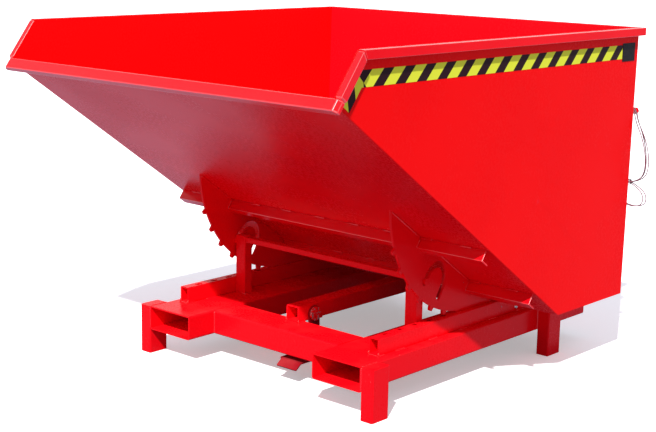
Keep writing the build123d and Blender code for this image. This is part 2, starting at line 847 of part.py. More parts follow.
line_points = line_route + [meeting]
line_radii = []
for before, corner, after in zip(line_points, line_points[1:], line_points[2:]):
    into = corner - before
    out = after - corner
    half_turn = radians(into.get_angle(out)) / 2
    line_radii.append(0.45 * min(into.length, out.length) / tan(half_turn))
with BuildLine() as slack_line:
    FilletPolyline(*line_points, radius=line_radii)
with BuildPart() as line:
    with BuildSketch(Plane(slack_line.line @ 0, z_dir=slack_line.line % 0)):
        RegularPolygon(rope_diameter / 2, rope_facets)
    sweep(path=slack_line.line)
save(line.part, "rope_line")

# Ferrule on the rope's end, and the band that holds the hank's turns together where they cross
with BuildPart() as ferrule:
    with BuildSketch(Plane(rope_start, z_dir=(1, 0, 0))):
        RegularPolygon(ferrule_diameter / 2, 6)
        Circle(rope_diameter / 2, mode=Mode.SUBTRACT)
    extrude(amount=ferrule_length)
save(ferrule.part, "rope_ferrule")

first_depth = hank_depth(first_crossing) + hank_seat
last_depth = hank_depth(hank_turns * len(hank_shape) + first_crossing) + hank_seat
tie_length = last_depth - first_depth + rope_diameter + 2 * rope_gap
tie_middle = lug + Vector(hank_shape[first_crossing][0] - tie_width / 2, (first_depth + last_depth) / 2, -tie_drop)
with BuildPart() as tie:
    with BuildSketch(Plane(tie_middle, x_dir=(0, 1, 0), z_dir=(1, 0, 0))):
        outside = Rectangle(tie_length + 2 * tie_thickness, tie_height + 2 * tie_thickness)
        chamfer(outside.vertices(), tie_corner)
        with BuildSketch(mode=Mode.PRIVATE) as bore:
            Rectangle(tie_length, tie_height)
            chamfer(bore.vertices(), tie_corner)
        add(bore.sketch, mode=Mode.SUBTRACT)
    extrude(amount=tie_width)
save(tie.part, "rope_tie")

samples = [hank_line.line @ (k / 900) for k in range(901)]
hank_length = sum(edge.length for edge in hank_line.edges())
line_length = sum(edge.length for edge in slack_line.edges())
step = hank_length / 900
least_gap = min((a - b).length for i, a in enumerate(samples) for b in samples[i + int(20 / step) + 1:])
print("rope's least gap to itself", round(least_gap - rope_diameter, 2))
print("rope's radii", [round(radius) for radius in line_radii])
print("rope's length", round(hank_length + line_length))
print("rolling axis", round(roll_y, 3), round(roll_height, 3), "mouths", round(mouth, 3))
print("trip pivot", round(trip_y, 3), round(trip_z, 3), "hook pivot", round(hook_y, 3), round(hook_z, 3))
print("lip", round(corner_lip.X, 3), round(corner_lip.Y, 3), "rolling travel", round(roll_radius * tip_travel, 3))
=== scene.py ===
import json
from math import cos, pi, radians, sin

import bmesh
import bpy
from mathutils import Matrix, Vector


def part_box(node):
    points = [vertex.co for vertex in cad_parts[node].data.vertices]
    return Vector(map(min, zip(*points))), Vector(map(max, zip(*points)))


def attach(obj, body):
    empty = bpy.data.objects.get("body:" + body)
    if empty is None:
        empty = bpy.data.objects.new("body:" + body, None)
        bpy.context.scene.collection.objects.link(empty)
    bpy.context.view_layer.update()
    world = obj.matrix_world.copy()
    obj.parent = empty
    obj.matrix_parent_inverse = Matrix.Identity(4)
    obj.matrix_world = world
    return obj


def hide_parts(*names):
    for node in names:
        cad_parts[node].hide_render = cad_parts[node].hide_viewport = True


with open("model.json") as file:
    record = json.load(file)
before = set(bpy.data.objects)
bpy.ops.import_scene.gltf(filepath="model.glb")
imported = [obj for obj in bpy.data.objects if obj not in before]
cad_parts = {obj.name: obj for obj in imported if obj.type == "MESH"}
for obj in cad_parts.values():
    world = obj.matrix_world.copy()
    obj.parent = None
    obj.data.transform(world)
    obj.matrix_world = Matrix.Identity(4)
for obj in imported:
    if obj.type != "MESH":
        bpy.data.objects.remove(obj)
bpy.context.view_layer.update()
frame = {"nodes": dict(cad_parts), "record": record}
nodes = frame["nodes"]
scene = bpy.context.scene
print("frame loaded:", len(nodes), "nodes")


def low(node):
    return Vector(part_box(node)[0])


def high(node):
    return Vector(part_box(node)[1])


def spot(x, y, z):
    return Vector((x, y, z))


noiseSpan = (0.3, 0.7)  # where most of a noise's values lie


# Shader helpers: a socket that can be added, scaled and compared, and one way to make any node
class Wire:
    def __init__(self, maker, socket):
        self.maker = maker
        self.socket = socket

    def math(self, operation, first, second):
        return self.maker.node("ShaderNodeMath", {"operation": operation}, (first, second))

    def __add__(self, other):
        return self.math("ADD", self, other)

    __radd__ = __add__

    def __sub__(self, other):
        return self.math("SUBTRACT", self, other)

    def __rsub__(self, other):
        return self.math("SUBTRACT", other, self)

    def __mul__(self, other):
        return self.math("MULTIPLY", self, other)

    __rmul__ = __mul__

    def __truediv__(self, other):
        return self.math("DIVIDE", self, other)

    def __rtruediv__(self, other):
        return self.math("DIVIDE", other, self)

    def __lt__(self, other):
        return self.math("LESS_THAN", self, other)

    def __gt__(self, other):
        return self.math("GREATER_THAN", self, other)


class Maker:
    # The nodes of a material or of the world
    def __init__(self, owner):
        self.owner = owner
        owner.use_nodes = True
        self.tree = owner.node_tree

    def join(self, value, socket):
        if isinstance(value, Wire):
            self.tree.links.new(value.socket, socket)
        else:
            socket.default_value = value

    def node(self, kind, settings, inputs, output=0):
        made = self.tree.nodes.new(kind)
        for key, value in settings.items():
            setattr(made, key, value)
        pairs = inputs.items() if isinstance(inputs, dict) else enumerate(inputs)
        for key, value in pairs:
            self.join(value, made.inputs[key])
        return Wire(self, made.outputs[output])

    def place(self):
        return self.node("ShaderNodeTexCoord", {}, (), "Object")

    def split(self, vector):
        first = self.node("ShaderNodeSeparateXYZ", {}, (vector,))
        return [Wire(self, out) for out in first.socket.node.outputs]

    def normal(self):
        return self.node("ShaderNodeNewGeometry", {}, (), "Normal")

    def noise(self, scale, detail=3):
        inputs = {"Scale": scale, "Detail": detail, "Roughness": 0.55, "Vector": self.place()}
        return self.node("ShaderNodeTexNoise", {}, inputs, "Fac")

    def cells(self, scale):
        return self.node("ShaderNodeTexVoronoi", {}, {"Vector": self.place(), "Scale": scale}, "Distance")

    def ramp(self, value, start, end, first=0, last=1):
        inputs = {"Value": value, "From Min": start, "From Max": end, "To Min": first, "To Max": last}
        return self.node("ShaderNodeMapRange", {"clamp": True, "interpolation_type": "SMOOTHSTEP"}, inputs)

    def between(self, value, limits):
        return self.ramp(value, *noiseSpan, *limits)

    def blend(self, factor, first, second):
        mixed = self.node("ShaderNodeMix", {"data_type": "RGBA"}, {"Factor": factor})
        made = mixed.socket.node
        colours = [s for s in made.inputs if s.type == "RGBA"]
        for value, socket in zip((first, second), colours):
            self.join(value if isinstance(value, Wire) else (*value, 1), socket)
        return Wire(self, [s for s in made.outputs if s.type == "RGBA"][0])

    def bump(self, height, distance, under=None):
        inputs = {"Height": height, "Distance": distance}
        if under:
            inputs["Normal"] = under
        return self.node("ShaderNodeBump", {}, inputs)

    def shader(self):
        return self.tree.nodes["Principled BSDF"]

    def set(self, **values):
        for key, value in values.items():
            self.join(value, self.shader().inputs[key.replace("_", " ")])
        return self.owner


def material(name):
    return Maker(bpy.data.materials.new(name))


# Paint: two close reds, orange peel over sheet that waves a little, dust that settles on top, and a few chips
paintLook = {"bright": (0.94, 0.0028, 0.0080), "deep": (0.86, 0.0022, 0.0080), "patch": 2.6,
             "patchEdges": (0.35, 0.68), "rough": (0.20, 0.28), "grain": 120, "grainEdges": (0.4, 0.62),
             "grainRough": 0.05, "gloss": 0.085, "coat": 0.0, "coatRough": 0.34,
             "peel": 330, "peelDepth": 0.00006, "wave": 1.7, "waveDepth": 0.0004,
             "dust": (0.66, 0.08, 0.08), "dustSpots": 9, "dustEdges": (0.42, 0.75), "dustLies": (0.3, 0.95),
             "dustShare": 0.06, "metal": (0.30, 0.27, 0.26), "chips": 0.0, "chipSize": 140, "chipPatch": 14,
             "chipGather": 0.35, "chipEdges": (0.98, 1.0), "chipRough": 0.2, "chipMetal": 0.8}


def paint(name, **changes):
    look = {**paintLook, **changes}
    m = material(name)
    patch = m.noise(look["patch"], 4)
    fine = m.noise(look["grain"], 3)
    tone = m.blend(m.ramp(patch, *look["patchEdges"]), look["bright"], look["deep"])
    up = m.ramp(m.split(m.normal())[2], *look["dustLies"])
    dust = up * m.ramp(m.noise(look["dustSpots"], 6), *look["dustEdges"]) * look["dustShare"]
    tone = m.blend(dust, tone, look["dust"])
    rough = m.between(patch, look["rough"]) + m.ramp(fine, *look["grainEdges"], 0, look["grainRough"]) + dust
    sheet = m.bump(m.noise(look["wave"], 1), look["waveDepth"])
    normal = m.bump(m.noise(look["peel"], 2), look["peelDepth"], sheet)
    metallic = 0.0
    if look["chips"]:
        worn = m.noise(look["chipSize"], 5) + m.noise(look["chipPatch"], 2) * look["chipGather"]
        chip = m.ramp(worn, *(edge - look["chips"] for edge in look["chipEdges"]))
        tone = m.blend(chip, tone, look["metal"])
        rough = rough + chip * look["chipRough"]
        metallic = chip * look["chipMetal"]
    return m.set(Base_Color=tone, Roughness=rough, Normal=normal, Metallic=metallic,
                 Specular_IOR_Level=look["gloss"], Coat_Weight=look["coat"], Coat_Roughness=look["coatRough"])


# Zinc plating: a fine spangle with dull stains
zincLook = {"light": (0.66, 0.67, 0.68), "dark": (0.46, 0.47, 0.48), "stain": (0.20, 0.18, 0.16),
            "spangle": 420, "spangleEdges": (0.1, 0.7), "stains": 45, "stainEdges": (0.45, 0.7), "stainShare": 0.5,
            "wear": 60, "rough": (0.28, 0.45), "grain": 260, "grainDepth": 0.00003}


def zinc(name, look):
    m = material(name)
    spangle = m.ramp(m.cells(look["spangle"]), *look["spangleEdges"])
    stain = m.ramp(m.noise(look["stains"], 4), *look["stainEdges"]) * look["stainShare"]
    tone = m.blend(stain, m.blend(spangle, look["light"], look["dark"]), look["stain"])
    wear = m.between(m.noise(look["wear"]), look["rough"])
    return m.set(Base_Color=tone, Metallic=1.0, Roughness=wear,
                 Normal=m.bump(m.noise(look["grain"], 3), look["grainDepth"]))


# Tape: the same slanted stripes along the panel's top and, turned, down beside its opening
tapeLook = {"yellow": (0.78, 0.80, 0.045), "pale": (0.70, 0.74, 0.05), "black": (0.022, 0.006, 0.009),
            "rubbed": (0.05, 0.03, 0.03), "pitch": 0.101, "share": 0.53, "lean": 0.95, "levelStart": -0.676,
            "levelFoot": 1.1335, "slopeStart": -0.793, "slopeHeight": 1.100, "mitre": 0.391,
            "before": 100.0, "weave": 900, "weaveEdges": (0.2, 0.6), "weaveShare": 0.6, "weaveDepth": 0.00002,
            "smudges": 22, "smudgeEdges": (0.5, 0.8), "smudgeShare": 0.35, "rubShare": 0.4,
            "wear": 30, "rough": (0.32, 0.46), "gloss": 0.05}


def tape(name, look):
    m = material(name)
    _, y, z = m.split(m.place())
    rise = high("rim_slope_right").z - high("rim_lip").z
    run = low("rim_side_right").y - low("rim_slope_right").y
    opening = Vector((run, rise)).normalized()
    level = (y - look["levelStart"]) - (z - look["levelFoot"]) * look["lean"]
    ahead = (y - look["slopeStart"]) * opening.x + (z - look["slopeHeight"]) * opening.y
    aside = (z - look["slopeHeight"]) * opening.x - (y - look["slopeStart"]) * opening.y
    slanted = ahead - aside * look["lean"]
    sloped = (y + z) < look["mitre"]
    along = level + sloped * (slanted - level)
    part = m.node("ShaderNodeMath", {"operation": "FRACT"}, (along / look["pitch"] + look["before"],))
    stripe = part < look["share"]
    weave = m.cells(look["weave"])
    smudge = m.ramp(m.noise(look["smudges"], 5), *look["smudgeEdges"]) * look["smudgeShare"]
    faded = m.ramp(weave, *look["weaveEdges"]) * look["weaveShare"] + smudge
    yellow = m.blend(faded, look["yellow"], look["pale"])
    black = m.blend(smudge * look["rubShare"], look["black"], look["rubbed"])
    tone = m.blend(stripe, black, yellow)
    return m.set(Base_Color=tone, Roughness=m.between(m.noise(look["wear"]), look["rough"]),
                 Normal=m.bump(weave, look["weaveDepth"]), Specular_IOR_Level=look["gloss"])


# One grain for things in a single dark colour: the bare plate and the cord round the hank
plateLook = {"light": (0.010, 0.007, 0.008), "dark": (0.022, 0.016, 0.018), "wear": 40, "rough": (0.30, 0.45),
             "grain": 300, "grainEdges": (0.4, 0.6), "grainDepth": 0.00002, "gloss": 0.05}
cordLook = {"light": (0.030, 0.012, 0.016), "dark": (0.07, 0.03, 0.035), "wear": 40, "rough": (0.5, 0.7),
            "grain": 700, "grainEdges": (0.4, 0.6), "grainDepth": 0.0001, "gloss": 0.4}


def plain(name, look):
    m = material(name)
    grain = m.noise(look["grain"], 3)
    tone = m.blend(m.ramp(grain, *look["grainEdges"]), look["light"], look["dark"])
    return m.set(Base_Color=tone, Roughness=m.between(m.noise(look["wear"]), look["rough"]),
                 Normal=m.bump(grain, look["grainDepth"]), Specular_IOR_Level=look["gloss"])


# Rope: steel strands seen through a reddish sleeve
sleeveLook = {"sleeve": (0.17, 0.035, 0.055), "strand": (0.26, 0.15, 0.17), "dirt": (0.07, 0.010, 0.020),
              "wear": 34, "wearEdges": (0.4, 0.66), "dirtPatch": 11, "dirtEdges": (0.52, 0.7), "dirtShare": 0.6,
              "rough": (0.22, 0.4), "grain": 400, "grainDepth": 0.00003, "gloss": 0.25}


def sleeve(name, look):
    m = material(name)
    wear = m.noise(look["wear"], 5)
    tone = m.blend(m.ramp(wear, *look["wearEdges"]), look["sleeve"], look["strand"])
    dirt = m.ramp(m.noise(look["dirtPatch"], 4), *look["dirtEdges"]) * look["dirtShare"]
    tone = m.blend(dirt, tone, look["dirt"])
    return m.set(Base_Color=tone, Roughness=m.between(wear, look["rough"]),
                 Normal=m.bump(m.noise(look["grain"]), look["grainDepth"]), Specular_IOR_Level=look["gloss"])


looks = {
    "red_paint": paint("red_paint"),
    "zinc": zinc("zinc_plate", zincLook),
    "dark_steel": paint("dark_red_paint", bright=(0.34, 0.004, 0.010), deep=(0.24, 0.004, 0.010),
                        dustShare=0.3),
    "tape": tape("hazard_tape", tapeLook),
    "label": plain("black_plate", plateLook),
    "rope": sleeve("rope_sleeve", sleeveLook),
}
workedPaint = paint("worked_paint", chips=0.05, dustShare=0.08, gloss=0.07)
hubPaint = paint("hub_paint", chips=0.26, metal=(0.52, 0.46, 0.45), gloss=0.2)
weldPaint = paint("weld_paint", rough=(0.16, 0.24), dustShare=0.05, gloss=0.45)
panelPaint = paint("panel_paint", gloss=0.032, bright=(0.95, 0.0028, 0.0035), deep=(0.91, 0.0024, 0.0035))
rimPaint = paint("rim_paint", rough=(0.14, 0.20), gloss=0.08, dustShare=0.03)
lipPaint = paint("lip_paint", rough=(0.14, 0.20), gloss=0.24, dustShare=0.03)
foldPaint = paint("fold_paint", rough=(0.34, 0.38), gloss=1.0, dustShare=0.0, peelDepth=0.00001, coat=0.8)
worked = ("fork_pocket", "rail", "rocker", "leg", "post", "front_beam", "rear_beam", "guide_pin", "latch",
          "striker")
finishes = {"side_panel": panelPaint, "bottom_plate": panelPaint, "rim_lip": lipPaint, "rim_slope": lipPaint,
            "rim": rimPaint, "stiffener": lipPaint, "trip_shaft": hubPaint}
for part in frame["record"]["subparts"]:
    name, slotName = part["node"], part["material_slot"]
    finish = looks.get(slotName, looks["red_paint"])
    if slotName == "red_paint" and name.startswith(worked):
        finish = workedPaint
    finish = next((kind for start, kind in finishes.items() if name.startswith(start)), finish)
    coats = nodes[name].data.materials
    coats.clear()
    coats.append(finish)
print("materials made")

# Sheet metal turns its corners on a radius, and the rim's and angles' edges are smoother than their faces
folds = {"rim_side": 0.0035, "rim_slope": 0.007, "rim_lip": 0.0035, "rim_rear": 0.003, "stiffener": 0.002,
         "side_panel": 0.0009, "sloped_floor": 0.0006, "rear_wall": 0.0006, "bottom_plate": 0.0008,
         "rocker": 0.0006, "post_cross_bar": 0.002, "trip_pedal": 0.0014, "trip_arm": 0.0008,
         "latch_hook": 0.0008, "latch_ears": 0.0008, "striker_ears": 0.0008, "trip_stop": 0.0006,
         "label_plate": 0.0005, "rope_lug": 0.0006, "trip_shaft": 0.001}
bending = {"joined": 0.00002, "sharpest": 32, "fineAbove": 0.002, "fine": 4, "coarse": 2,
           "shiny": ("rim", "stiffener")}
for name, made in nodes.items():
    radius = next((size for start, size in folds.items() if name.startswith(start)), None)
    if radius:
        weld = made.modifiers.new("joined", "WELD")
        weld.merge_threshold = bending["joined"]
        bend = made.modifiers.new("folded", "BEVEL")
        bend.width = radius
        bend.segments = bending["fine"] if radius > bending["fineAbove"] else bending["coarse"]
        bend.limit_method = "ANGLE"
        bend.angle_limit = radians(bending["sharpest"])
        if name.startswith(bending["shiny"]):
            made.data.materials.append(foldPaint)
            bend.material = 1
print("edges folded")


def keep(piece, body, slotName, finish=None):
    scene.collection.objects.link(piece)
    piece.data.materials.append(finish or looks[slotName])
    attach(piece, body)
    return piece


def meshPiece(name, mesh):
    data = bpy.data.meshes.new(name)
    mesh.to_mesh(data)
    mesh.free()
    for face in data.polygons:
        face.use_smooth = True
    return bpy.data.objects.new(name, data)


def frames(points):
    # The direction and two cross directions at each point of a line, turned as little as possible on the way
    made = []
    side = None
    for index, point in enumerate(points):
        ahead = (points[min(index + 1, len(points) - 1)] - points[max(index - 1, 0)]).normalized()
        if side is None:
            side = ahead.orthogonal().normalized()
        side = (side - ahead * side.dot(ahead)).normalized()
        made.append((point, side, ahead.cross(side)))
    return made


def ring(radius, sides, flat=1.0):
    turns = [2 * pi * k / sides for k in range(sides)]
    return [(radius * cos(turn), radius * flat * sin(turn)) for turn in turns]


def skin(mesh, rings):
    # Faces from each ring of corners to the next, and a cap at either end
    count = len(rings[0])
    for before, after in zip(rings, rings[1:]):
        for k in range(count):
            mesh.faces.new((before[k], before[(k + 1) % count], after[(k + 1) % count], after[k]))
    mesh.faces.new(list(reversed(rings[0])))
    mesh.faces.new(rings[-1])


def sweep(mesh, points, section):
    # Rings of a section along the points, where section gives the offsets at a distance along
    rings = []
    travelled = 0
    last = points[0]
    for point, side, other in frames(points):
        travelled += (point - last).length
        last = point
        rings.append([mesh.verts.new(point + side * a + other * b) for a, b in section(travelled)])
    skin(mesh, rings)


# Weld beads, rippled and painted over, that start and end thin
beadLook = {"radius": 0.0032, "ripple": 0.14, "pitch": 0.0042, "steady": 0.7, "drift": 310, "endSize": 0.45,
            "endRun": 0.006, "step": 0.0014, "sides": 8}


def bead(mesh, points, radius=None):
    look = beadLook
    radius = radius or look["radius"]
    line = []
    for start, end in zip(points, points[1:]):
        count = max(2, round((end - start).length / look["step"]))
        line += [start.lerp(end, k / count) for k in range(count)]
    line.append(points[-1])
    total = sum((b - a).length for a, b in zip(line, line[1:]))

    def section(distance):
        drift = look["steady"] + (1 - look["steady"]) * sin(distance * look["drift"])
        wave = 1 + look["ripple"] * sin(2 * pi * distance / look["pitch"]) * drift
        nearer = min(distance, total - distance)
        return ring(radius * wave * min(1, look["endSize"] + nearer / look["endRun"]), look["sides"])

    sweep(mesh, line, section)


def stitches(mesh, start, end, length, gap):
    span = (end - start).length
    count = max(1, round(span / (length + gap)))
    way = (end - start).normalized()
    for k in range(count):
        middle = start + way * span * (k + 0.5) / count
        bead(mesh, [middle - way * length / 2, middle + way * length / 2])


# A zinc screw in the right rail's outer face
screwLook = {"y": 0.472, "z": 0.201, "radius": 0.0062, "head": 0.0045, "washer": 1.5, "washerHeight": 0.0008,
             "washerEdge": 0.001, "round": 0.001, "crown": 0.86, "socket": 0.003, "socketDepth": 0.0025,
             "sides": 24}


def screw():
    look = screwLook
    mesh = bmesh.new()
    middle = spot(high("rail_right").x, look["y"], look["z"])
    size, head = look["radius"], look["head"]
    profile = [(size * look["washer"], 0), (size * look["washer"], look["washerHeight"]),
               (size, look["washerEdge"]), (size, head - look["round"]), (size * look["crown"], head),
               (look["socket"], head), (look["socket"], head - look["socketDepth"])]
    skin(mesh, [[mesh.verts.new(middle + spot(out, across, up)) for across, up in ring(reach, look["sides"])]
                for reach, out in profile])
    return meshPiece("rail_screw", mesh)


keep(screw(), "base", "zinc")
print("screw made")

# Beads on the base, where its tubes, rails and posts meet: each seam's radius, then where beads start and end
baseSeams = {"beam": 0.0042, "legSide": 0.0036, "legTop": 0.003, "rail": 0.004, "railFront": 0.0036,
             "post": 0.0042, "bar": 0.003, "tube": 0.004, "clear": 0.004, "legClear": 0.002, "legInset": 0.003,
             "legTopStart": 0.006, "railReturn": 0.03, "railRise": 0.012, "tubeRise": 0.01, "stitch": 0.05,
             "gap": 0.13}


def layBaseWelds(mesh, seam):
    clear = seam["clear"]
    for hand, side in (("left", -1), ("right", 1)):
        pocketLow, pocketHigh = low("fork_pocket_" + hand), high("fork_pocket_" + hand)
        innerX = side * min(abs(pocketLow.x), abs(pocketHigh.x))
        outerX = side * max(abs(pocketLow.x), abs(pocketHigh.x))
        for end in ("front", "rear"):
            beamLow, beamHigh = low(end + "_beam"), high(end + "_beam")
            legLow, legHigh = low("leg_" + end + "_" + hand), high("leg_" + end + "_" + hand)
            for y in (beamLow.y, beamHigh.y):
                bead(mesh, [spot(innerX, y, beamLow.z + clear), spot(innerX, y, beamHigh.z - clear)], seam["beam"])
            for y in (legLow.y, legHigh.y):
                if y == legLow.y and end == "front":
                    y += seam["legInset"]
                bead(mesh, [spot(outerX, y, pocketLow.z + clear), spot(outerX, y, legHigh.z - seam["legClear"])],
                     seam["legSide"])
            bead(mesh, [spot(outerX, legLow.y + seam["legTopStart"], legHigh.z),
                        spot(outerX, legHigh.y, legHigh.z)], seam["legTop"])
        railLow, railHigh = low("rail_" + hand), high("rail_" + hand)
        foot, turned = railLow.z, railLow.y + seam["railReturn"]
        for x in (railLow.x, railHigh.x):
            stitches(mesh, spot(x, turned, foot), spot(x, railHigh.y, foot), seam["stitch"], seam["gap"])
            bead(mesh, [spot(x, railLow.y, foot + seam["railRise"]), spot(x, railLow.y, foot),
                        spot(x, turned, foot)], seam["rail"])
        bead(mesh, [spot(railLow.x, railLow.y, foot), spot(railHigh.x, railLow.y, foot)], seam["railFront"])
        postLow, postHigh = low("post_" + hand), high("post_" + hand)
        corners = [spot(x, y, postLow.z) for x, y in ((postLow.x, postLow.y), (postHigh.x, postLow.y),
                                                      (postHigh.x, postHigh.y), (postLow.x, postHigh.y))]
        bead(mesh, corners + corners[:1], seam["post"])
        barLow, barHigh = low("post_cross_bar"), high("post_cross_bar")
        endX = barHigh.x if side > 0 else barLow.x
        for z in (barLow.z, barHigh.z):
            bead(mesh, [spot(endX, barLow.y, z), spot(endX, barHigh.y, z)], seam["bar"])
    tubeLow, tubeHigh = low("centre_tube"), high("centre_tube")
    foot = tubeLow.z
    for x in (tubeLow.x, tubeHigh.x):
        bead(mesh, [spot(x, tubeLow.y, foot + seam["tubeRise"]), spot(x, tubeLow.y, foot),
                    spot(x, high("front_beam").y - clear, foot)], seam["tube"])
        bead(mesh, [spot(x, low("rear_beam").y + clear, foot), spot(x, tubeHigh.y, foot)], seam["tube"])


baseWelds = bmesh.new()
layBaseWelds(baseWelds, baseSeams)
keep(meshPiece("base_welds", baseWelds), "base", "red_paint", weldPaint)

# Beads on the skip: along the rockers and stiffening angles under the sloped floor, and under the rims
skipSeams = {"slope": 34.85, "angleWidth": 0.040, "rocker": 0.0034, "rockerStart": 0.004, "behindAngle": 0.003,
             "tipClear": 0.008, "angle": 0.003, "angleRun": (0.004, 0.038), "plateStart": 0.01, "stitch": 0.05,
             "angleGap": 0.12, "plateGap": 0.05, "rimStitch": 0.03, "rimGap": 0.2, "rimFront": 0.05,
             "rimRear": 0.06, "wallEnd": 0.03, "wallInset": 0.0003}


def laySkipWelds(mesh, seam):
    slope = radians(seam["slope"])
    corner = spot(0, low("bottom_plate").y, low("bottom_plate").z)
    along, below = spot(0, -cos(slope), sin(slope)), spot(0, -sin(slope), -cos(slope))

    def underFloor(x, up, down=0):
        return spot(x, 0, 0) + corner + along * up + below * down

    feet = []
    for name in ("stiffener_lower", "stiffener_upper"):
        near, far = low(name), high(name)
        foot = (far.z - corner.z) / sin(slope)
        feet.append(foot)
        stitches(mesh, underFloor(near.x, foot), underFloor(far.x, foot), seam["stitch"], seam["angleGap"])
    for hand in ("left", "right"):
        rockerLow, rockerHigh = low("rocker_" + hand), high("rocker_" + hand)
        tip = (rockerHigh.z - corner.z) / sin(slope) - seam["tipClear"]
        starts = [seam["rockerStart"]] + [foot + seam["behindAngle"] for foot in feet]
        ends = [foot - seam["angleWidth"] for foot in feet] + [tip]
        for x in (rockerLow.x, rockerHigh.x):
            for start, end in zip(starts, ends):
                bead(mesh, [underFloor(x, start), underFloor(x, end)], seam["rocker"])
            for foot in feet:
                bead(mesh, [underFloor(x, foot, down) for down in seam["angleRun"]], seam["angle"])
            stitches(mesh, spot(x, corner.y + seam["plateStart"], corner.z), spot(x, rockerHigh.y, corner.z),
                     seam["stitch"], seam["plateGap"])
    for hand in ("left", "right"):
        panelLow, panelHigh = low("side_panel_" + hand), high("side_panel_" + hand)
        outerX = panelHigh.x if hand == "right" else panelLow.x
        rimLow, rimHigh = low("rim_side_" + hand), high("rim_side_" + hand)
        stitches(mesh, spot(outerX, rimLow.y + seam["rimFront"], rimLow.z),
                 spot(outerX, rimHigh.y - seam["rimRear"], rimLow.z), seam["rimStitch"], seam["rimGap"])
    rimLow, rimHigh = low("rim_rear"), high("rim_rear")
    y = high("rear_wall").y - seam["wallInset"]
    stitches(mesh, spot(rimLow.x + seam["wallEnd"], y, rimLow.z), spot(rimHigh.x - seam["wallEnd"], y, rimLow.z),
             seam["rimStitch"], seam["rimGap"])


skipWelds = bmesh.new()
laySkipWelds(skipWelds, skipSeams)
keep(meshPiece("skip_welds", skipWelds), "skip", "red_paint", weldPaint)
print("weld beads laid")

# Rope: one line from the latch's tail up to the lug, then the hank, as in the solids, in mm from the lug
ropeLook = {"diameter": 0.004, "lobes": 6, "groove": 0.16, "lay": 0.030, "sides": 18}
hankShape = [
    (0, 15), (15, 0), (28, -40), (53, -82), (72, -130), (82, -186), (74, -236), (42, -257), (4, -267),
    (-34, -290), (-43, -328), (-12, -354), (34, -364), (76, -350), (76, -308), (41, -281),
    (4, -263), (-41, -239), (-75, -196), (-77, -138), (-56, -80), (-28, -40), (-15, 0),
]
lineShape = [
    (-688, 66, -618), (-650, 62, -598), (-610, 58, -580), (-566, 52, -543),
    (-523, 47, -504), (-481, 42, -463), (-440, 38, -420), (-400, 34, -376), (-361, 30, -331), (-323, 27, -285),
    (-286, 24, -238), (-250, 21, -190), (-215, 18, -141), (-176, 14, -98), (-134, 11, -60), (-88, 8.5, -30),
    (-48, 6.5, -10), (-20, 5, 8),
]
hank = {"pitch": 11, "turns": 2, "widths": (0.9, 1.0, 0.8), "firstCrossing": 8, "secondCrossing": 16,
        "firstDepth": 1, "stub": (-13, 0.5, -3.5), "exitRun": 30, "crossing": -268, "lowerDepth": 0.92}
ferruleBox = (low("rope_ferrule"), high("rope_ferrule"))
lugBox = (low("rope_lug"), high("rope_lug"))
lug = spot((lugBox[0].x + lugBox[1].x) / 2, lugBox[0].y, (lugBox[0].z + lugBox[1].z) / 2)


def hankDepth(index):
    # How far the line has come out from the panel: half a pitch more over each of its loops
    count = len(hankShape)
    lower = hank["secondCrossing"] - hank["firstCrossing"]
    upper = count - lower
    turn, place = divmod(index, count)
    if place <= hank["firstCrossing"]:
        share = 0.5 * (place + count - hank["secondCrossing"]) / upper
    elif place <= hank["secondCrossing"]:
        share = 0.5 + 0.5 * (place - hank["firstCrossing"]) / lower
    else:
        share = 1 + 0.5 * (place - hank["secondCrossing"]) / upper
    return hank["pitch"] * (turn + share)


ferruleMiddle = (ferruleBox[0] + ferruleBox[1]) / 2
ropeStart = spot(ferruleBox[0].x, ferruleMiddle.y, ferruleMiddle.z)
route = [ropeStart, spot(hank["exitRun"] / 1000, ropeStart.y, ropeStart.z)]
route += [lug + Vector(point) / 1000 for point in lineShape]
for index in range(hank["turns"] * len(hankShape) + hank["firstCrossing"] + 1):
    turn, place = divmod(index, len(hankShape))
    across, up = hankShape[place]
    if up < hank["crossing"]:
        up = hank["crossing"] + (up - hank["crossing"]) * hank["lowerDepth"]
    depth = hankDepth(index) + hank["firstDepth"]
    route.append(lug + spot(across * hank["widths"][turn], depth, up) / 1000)
route.append(route[-1] + Vector(hank["stub"]) / 1000)


def smoothLine(name, points, resolution=10):
    # The points of a smooth curve that runs along the given ones
    line = bpy.data.curves.new(name, "CURVE")
    line.dimensions = "3D"
    line.resolution_u = resolution
    spline = line.splines.new("NURBS")
    spline.points.add(len(points) - 1)
    for place, point in zip(spline.points, points):
        place.co = (*point, 1)
    spline.order_u = 3
    spline.use_endpoint_u = True
    holder = bpy.data.objects.new(name, line)
    drawn = bpy.data.meshes.new_from_object(holder)
    read = [vertex.co.copy() for vertex in drawn.vertices]
    bpy.data.objects.remove(holder)
    bpy.data.meshes.remove(drawn)
    return read


def strandSection(look):
    radius = look["diameter"] / 2

    def section(distance):
        made = []
        for k in range(look["sides"]):
            angle = 2 * pi * k / look["sides"]
            wave = cos(look["lobes"] * (angle - 2 * pi * distance / look["lay"]))
            size = radius * (1 - look["groove"] * (1 - wave) / 2)
            made.append((size * cos(angle), size * sin(angle)))
        return made

    return section


ropePath = smoothLine("rope_route", route)
ropeMesh = bmesh.new()
sweep(ropeMesh, ropePath, strandSection(ropeLook))
rope = keep(meshPiece("rope", ropeMesh), "skip", "rope")
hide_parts("rope_line", "rope_hank")


# Crimped ferrule, and the cord that ties the hank where it crosses
crimp = {"waists": 3, "depth": 0.0006, "collar": 0.0008, "collarEnds": 12, "flat": 0.94, "sides": 24, "steps": 36}


